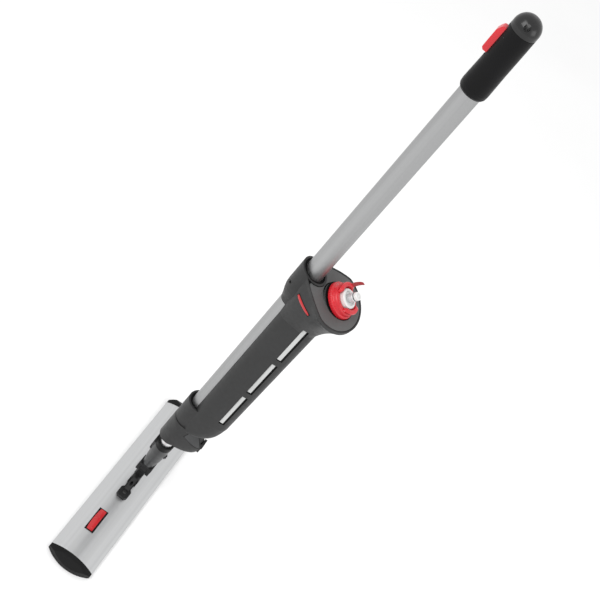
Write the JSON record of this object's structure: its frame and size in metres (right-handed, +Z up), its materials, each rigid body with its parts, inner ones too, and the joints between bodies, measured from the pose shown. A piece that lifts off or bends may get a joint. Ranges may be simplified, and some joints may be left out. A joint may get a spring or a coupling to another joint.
{
  "type": "spray mop",
  "caption": "Flat spray mop: arched aluminium mop frame on a two-axis swivel, tube pole with grey reservoir housing, red filler cap, squeeze trigger and hanging hole.",
  "frame": {"origin": "on the floor under the middle of the mop frame, on the face of the middle hook strip", "axes": "+X along the mop frame, -Y towards the spraying front, +Z up along the pole"},
  "size_m": [0.49, 0.1568, 1.292],
  "materials": {
    "satin_aluminium": "fine lengthwise satin, anodised",
    "bright_aluminium": "bright drawn tube",
    "steel_pin": "ground",
    "zinc_screw": "zinc plated",
    "housing_grey": "fine moulded grain",
    "plate_grey": "fine moulded grain, a little lighter",
    "socket_grey": "satin moulded",
    "joint_black": "glass-filled black",
    "cap_black": "satin moulded",
    "handle_black": "soft-touch",
    "red_plastic": "moulded, semi-gloss",
    "label_red": "flat printed inlay, no lettering",
    "bottle_clear": "translucent natural polypropylene",
    "pale_plastic": "pale grey-white moulded",
    "nipple_grey": "turned",
    "seal_black": "nitrile",
    "hook_black": "hook tape",
    "hose_clear": "soft tube"
  },
  "bodies": {
    "pole": {"pole_fork": "joint_black", "pole_socket": "socket_grey", "socket_ring": "cap_black", "adapter_tube": "bright_aluminium", "tube_bushing": "pale_plastic", "main_tube": "satin_aluminium", "rod_guide_lower": "pale_plastic", "rod_guide_upper": "pale_plastic", "side_panel_left": "housing_grey", "side_panel_right": "housing_grey", "housing_left": "housing_grey", "housing_right": "housing_grey", "reservoir_bottle": "bottle_clear", "top_plate": "plate_grey", "filler_neck": "pale_plastic", "neck_gasket": "seal_black", "housing_screw_1": "zinc_screw", "housing_screw_2": "zinc_screw", "housing_screw_3": "zinc_screw", "housing_screw_4": "zinc_screw", "housing_label_plate": "label_red", "spray_valve_body": "joint_black", "valve_inlet_barb": "pale_plastic", "supply_hose": "hose_clear", "bottle_outlet_barb": "pale_plastic", "nozzle_plate": "joint_black", "spray_jet_1": "joint_black", "spray_jet_2": "joint_black", "spray_jet_3": "joint_black", "handle_sleeve": "handle_black", "handle_end_cap": "handle_black", "trigger_pin": "steel_pin"},
    "frame": {"frame_extrusion": "satin_aluminium", "end_cap_left": "cap_black", "end_cap_right": "cap_black", "hook_strip_front": "hook_black", "hook_strip_middle": "hook_black", "hook_strip_back": "hook_black", "swivel_base": "joint_black", "base_screw_left": "zinc_screw", "base_screw_right": "zinc_screw", "tilt_pin": "steel_pin", "frame_label_plate": "label_red"},
    "knuckle": {"swivel_knuckle": "joint_black", "cross_pin": "steel_pin"},
    "cap": {"filler_cap": "red_plastic", "cap_wing_back": "red_plastic", "cap_wing_front": "red_plastic", "cap_collar": "pale_plastic", "nipple_stem": "nipple_grey", "nipple_oring": "seal_black", "nipple_nose": "pale_plastic"},
    "poppet": {"nipple_poppet": "pale_plastic"},
    "trigger": {"trigger": "red_plastic"},
    "control_rod": {"pull_rod": "bright_aluminium", "valve_link": "joint_black", "valve_plunger": "steel_pin"},
    "button_front": {"latch_button_front": "cap_black"},
    "button_back": {"latch_button_back": "cap_black"}
  },
  "joints": [
    {"name": "side_swivel", "type": "hinge", "parent": "pole", "child": "knuckle", "pos_m": [0, 0, 0.07], "axis": [0, 1, 0], "range_deg": [-60, 60]},
    {"name": "frame_tilt", "type": "hinge", "parent": "knuckle", "child": "frame", "pos_m": [0, 0, 0.04], "axis": [1, 0, 0], "range_deg": [-85, 85]},
    {"name": "cap_turn", "type": "hinge", "parent": "pole", "child": "cap", "pos_m": [0, -0.059, 0.7295], "axis": [0, -0.4617, 0.887], "range_deg": [0, 90]},
    {"name": "poppet_press", "type": "slide", "parent": "cap", "child": "poppet", "axis": [0, 0.4617, -0.887], "range_m": [0, 0.004], "stiffness_N_per_m": 400, "springref_m": -0.003},
    {"name": "trigger_squeeze", "type": "hinge", "parent": "pole", "child": "trigger", "pos_m": [0, 0.0135, 1.2495], "axis": [-1, 0, 0], "range_deg": [0, 11], "stiffness_Nm_per_rad": 2, "springref_deg": -22.92},
    {"name": "rod_lift", "type": "slide", "parent": "pole", "child": "control_rod", "axis": [0, 0, 1], "range_m": [0, 0.0033]},
    {"name": "button_front_press", "type": "slide", "parent": "pole", "child": "button_front", "axis": [0, 1, 0], "range_m": [0, 0.0022], "stiffness_N_per_m": 500, "springref_m": -0.002},
    {"name": "button_back_press", "type": "slide", "parent": "pole", "child": "button_back", "axis": [0, -1, 0], "range_m": [0, 0.0022], "stiffness_N_per_m": 500, "springref_m": -0.002}
  ],
  "couplings": [
    {"joint": "trigger_squeeze", "follows": "rod_lift", "rad_per_m": 57.143}
  ]
}
